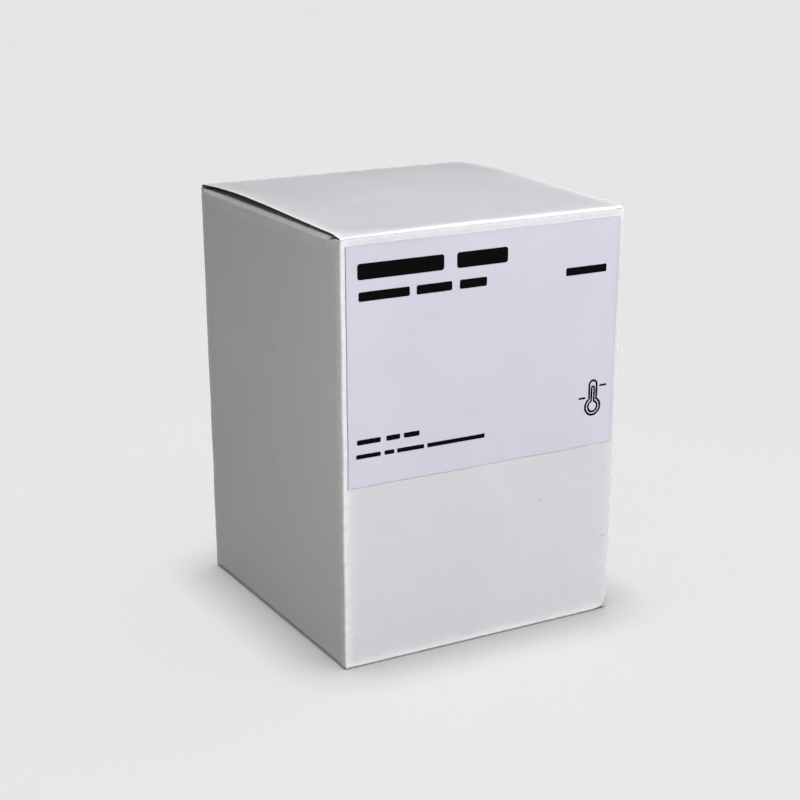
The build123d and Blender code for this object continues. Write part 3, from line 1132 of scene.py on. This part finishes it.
# The ink: how far it reaches into the glass that it wets, its heel's radius, the points up its
# wall and its shoulder, and the depth and width of its meniscus
INK_WET = 0.04
INK_HEEL = 2.4
INK_HEEL_STEPS = 8
INK_WALL_START = 2
INK_WALL_END = 6
INK_WALL_STEP = 4.0
INK_SHOULDER = 4.2
INK_SHOULDER_STEP = 0.5
MENISCUS_DEPTH = 0.35
MENISCUS_WIDTH = 0.9
MENISCUS_STEPS = 6
INK_SURFACE_RINGS = (0.8, 0.5, 0.2)


def repaint(node, material):
    """Gives a carried-over CAD node a finished material."""
    mesh = frame["nodes"][node].data
    mesh.materials.clear()
    mesh.materials.append(material)


def lathe(name, profile, material):
    """A closed body turned about the vertical axis, from a profile that starts and ends on it."""
    work = bmesh.new()
    foot = work.verts.new((0, 0, profile[0][1] * MM))
    head = work.verts.new((0, 0, profile[-1][1] * MM))
    turns = [2 * pi * k / LATHE_SIDES for k in range(LATHE_SIDES)]
    rings = []
    for radius, z in profile[1:-1]:
        places = [(radius * cos(turn) * MM, radius * sin(turn) * MM, z * MM) for turn in turns]
        rings.append([work.verts.new(place) for place in places])
    for k in range(LATHE_SIDES):
        m = (k + 1) % LATHE_SIDES
        work.faces.new((foot, rings[0][m], rings[0][k]))
        work.faces.new((head, rings[-1][k], rings[-1][m]))
        for low, high in zip(rings, rings[1:]):
            work.faces.new((low[k], low[m], high[m], high[k]))
    return new_piece(name, work, [material])


def cavity_radius(z, radius):
    """The glass cavity's radius at a height: straight, then the inside of the shoulder's arc."""
    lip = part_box("glass_bottle")[1].z / MM
    start = lip - SHOULDER_DROP
    if z <= start:
        return radius
    return radius - SHOULDER_ARC + sqrt(max(0.0, SHOULDER_ARC ** 2 - (z - start) ** 2))


def ink_heel(radius, foot):
    """The ink's profile round its heel."""
    arc = INK_HEEL + INK_WET
    return [
        (radius - INK_HEEL + arc * sin(turn), foot - INK_WET + arc * (1 - cos(turn)))
        for turn in quarter(INK_HEEL_STEPS)
    ]


def ink_meniscus(edge, head):
    """The ink's profile from where it has climbed the glass, down to its level surface."""
    profile = []
    for k in range(1, MENISCUS_STEPS + 1):
        dip = MENISCUS_DEPTH * (1 - (1 - k / MENISCUS_STEPS) ** 2)
        profile.append((edge - MENISCUS_WIDTH * k / MENISCUS_STEPS, head - dip))
    return profile


def make_ink():
    """The ink as it sits in the glass: it wets the wall and climbs it in a small meniscus."""
    low, high = millimetre_box("ink")
    radius = high.x
    edge = cavity_radius(high.z, radius)
    surface = high.z - MENISCUS_DEPTH
    wall = spread(low.z + INK_HEEL + INK_WALL_START, high.z - INK_WALL_END, INK_WALL_STEP)
    shoulder = spread(high.z - INK_SHOULDER, high.z, INK_SHOULDER_STEP)
    profile = [
        (0.0, low.z - INK_WET),
        *ink_heel(radius, low.z),
        *((radius + INK_WET, z) for z in wall),
        *((cavity_radius(z, radius) + INK_WET, z) for z in shoulder),
        *ink_meniscus(edge, high.z),
        *((edge * share, surface) for share in INK_SURFACE_RINGS),
        (0.0, surface),
    ]
    piece = lathe("ink_fill", profile, ink_black())
    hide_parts("ink")
    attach(piece, "bottle")


def make_bottle_print():
    """Plain bars of print round the front of the bottle's label."""
    radius = millimetre_box("bottle_label")[1].x
    work = bmesh.new()

    def around(along, z, proud):
        turn = along / radius
        outwards = Vector((sin(turn), -cos(turn), 0))
        return outwards * (radius + proud) * MM + Vector((0, 0, z * MM))

    for middle, height, bars in BOTTLE_LINES:
        for left, right in bars:
            steps = spread(left, right, BOTTLE_PRINT_STEP)
            rows = [[(x, middle + height / 2 * t) for t in (-1, 1)] for x in steps]
            print_patch(work, rows, around, BOTTLE_PRINT_PROUD)
    piece = new_piece("bottle_label_print", work, [PRINT])
    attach(piece, "bottle")


def make_bottle():
    """The bottle's print and ink, and materials for the pieces that keep their CAD mesh."""
    make_bottle_print()
    repaint("glass_bottle", bottle_glass())
    repaint("bottle_label", label_paper("bottle_label_paper", (1.0, 0.995, 0.985)))
    repaint("screw_cap", cap_plastic())
    repaint("cap_liner", liner_foam())
    make_ink()


# Studio

# In metres: half the floor's side, how far it lies below the carton, and the backdrop's foot. The
# backdrop stands at a share of half the floor's side.
FLOOR_SIZE = 5.0
FLOOR_DROP = 0.00002
BACKDROP_SHARE = 0.99
BACKDROP_FOOT = -0.01
BACKDROP_SIDES = 64

WORLD_COLOUR = (0.98, 1.0, 0.98, 1.0)
WORLD_STRENGTH = 0.072

# The camera: its direction from the carton, what it looks at and how far it is from there
CAMERA_AZIMUTH = radians(-29.24)
CAMERA_ELEVATION = radians(16.82)
CAMERA_TARGET = (-1.3, 0.0, 40.45)
CAMERA_DISTANCE = 349.7
CAMERA_LENS = 78.25
CAMERA_SENSOR = 36.0


def aim(thing, direction):
    """Turns a light or a camera, whose own back faces along a direction."""
    thing.rotation_mode = "QUATERNION"
    thing.rotation_quaternion = direction.to_track_quat("Z", "Y")


def add_light(name, kind, direction, distance=1.0, **settings):
    """A light in a direction from the carton's middle, at a distance in metres, shining back."""
    data = bpy.data.lights.new(name, kind)
    for setting, value in settings.items():
        setattr(data, setting, value)
    light = bpy.data.objects.new(name, data)
    direction = Vector(direction).normalized()
    light.location = Vector((0, 0, TOP / 2 * MM)) + direction * distance
    aim(light, direction)
    bpy.context.scene.collection.objects.link(light)
    return light


def link_floor(light, role, floor, state):
    """Leaves the floor out of a light's receivers or blockers, or makes it the only one of them."""
    linked = bpy.data.collections.new(f"{light.name}_{role}s")
    linked.objects.link(floor)
    linked.collection_objects[0].light_linking.link_state = state
    setattr(light.light_linking, role + "_collection", linked)


def make_floor():
    """The plain pale floor. It sends no light back onto the carton."""
    size = FLOOR_SIZE
    corners = [(-size, -size, 0), (size, -size, 0), (size, size, 0), (-size, size, 0)]
    mesh = bpy.data.meshes.new("studio_floor")
    mesh.from_pydata(corners, [], [(0, 1, 2, 3)])
    mesh.materials.append(floor_card())
    floor = bpy.data.objects.new("studio_floor", mesh)
    floor.location.z = -FLOOR_DROP
    floor.visible_diffuse = False
    bpy.context.scene.collection.objects.link(floor)
    return floor


def backdrop_paper():
    """A screen that glows by itself, so that no light has to reach it."""
    m = Nodes("backdrop_paper")
    return m.finish(
        Base_Color=(0, 0, 0, 1),
        Emission_Color=m.mix(m.noise(0.4, 2), grey(0.785), grey(0.800)),
        Emission_Strength=1.0,
        Specular_IOR_Level=0.0,
    )


def make_backdrop():
    """A pale screen all round the floor's edge, there for low cameras and lighting nothing."""
    work = bmesh.new()
    reach = FLOOR_SIZE * BACKDROP_SHARE
    feet, heads = [], []
    for k in range(BACKDROP_SIDES):
        turn = 2 * pi * k / BACKDROP_SIDES
        x, y = reach * cos(turn), reach * sin(turn)
        feet.append(work.verts.new((x, y, BACKDROP_FOOT)))
        heads.append(work.verts.new((x, y, FLOOR_SIZE)))
    for k in range(BACKDROP_SIDES):
        m = (k + 1) % BACKDROP_SIDES
        work.faces.new((feet[k], heads[k], heads[m], feet[m]))
    backdrop = new_piece("studio_backdrop", work, [backdrop_paper()])
    for ray in ("visible_diffuse", "visible_glossy", "visible_transmission", "visible_shadow"):
        setattr(backdrop, ray, False)


def make_world():
    """A faint even light from all round."""
    world = bpy.data.worlds.new("studio")
    world.use_nodes = True
    background = world.node_tree.nodes["Background"]
    background.inputs["Color"].default_value = WORLD_COLOUR
    background.inputs["Strength"].default_value = WORLD_STRENGTH
    bpy.context.scene.world = world


def make_lights(floor):
    """One set of lights for the carton, which leave the floor alone, and one for the floor."""
    key_colour, fill_colour = (0.985, 0.98, 1.0), (0.98, 1.0, 0.95)
    key = add_light("key", "AREA", (0.46, -0.69, 0.56), 0.9, size=0.4, energy=9.95, color=key_colour)
    overhead = add_light("overhead", "SUN", (-0.45, 0.10, 0.86), energy=0.97, angle=radians(20))
    behind = add_light("behind", "AREA", (0.25, 0.90, 0.04), 0.9, size=0.3, energy=4.2)
    behind.visible_glossy = False
    beside_foot = (-0.106, -0.074, 0.020)
    fill = add_light("fill", "AREA", beside_foot, 0.130, size=0.05, energy=0.0155, color=fill_colour)
    bounce = add_light("floor_bounce", "SUN", (0.0, 0.0, -1.0), energy=1.2, angle=radians(14))
    link_floor(bounce, "blocker", floor, "EXCLUDE")
    for light in (key, overhead, behind, fill, bounce):
        light.visible_camera = False
        link_floor(light, "receiver", floor, "EXCLUDE")
    wash = add_light("floor_wash", "SUN", (0.0, 0.0, 1.0), energy=5.55, angle=radians(18))
    haze = add_light("floor_haze", "SUN", (0.0, 0.0, 1.0), energy=1.35, angle=radians(90))
    for light in (wash, haze):
        link_floor(light, "receiver", floor, "INCLUDE")


def make_studio():
    """The floor, the backdrop and the light."""
    floor = make_floor()
    make_backdrop()
    make_world()
    make_lights(floor)
    bpy.context.scene.view_settings.view_transform = "Standard"


def make_camera():
    """The camera, in front of the carton, to its left and above it."""
    flat = cos(CAMERA_ELEVATION)
    across, ahead = sin(CAMERA_AZIMUTH) * flat, -cos(CAMERA_AZIMUTH) * flat
    back = Vector((across, ahead, sin(CAMERA_ELEVATION)))
    data = bpy.data.cameras.new("camera")
    data.lens = CAMERA_LENS
    data.sensor_width = CAMERA_SENSOR
    camera = bpy.data.objects.new("camera", data)
    camera.location = Vector(CAMERA_TARGET) * MM + back * (CAMERA_DISTANCE * MM)
    aim(camera, back)
    bpy.context.scene.collection.objects.link(camera)
    bpy.context.scene.camera = camera


make_sleeve()
make_seam()
make_closed_end(End(top=True))
make_closed_end(End(top=False))
make_label()
make_print()
make_bottle()
make_studio()
make_camera()
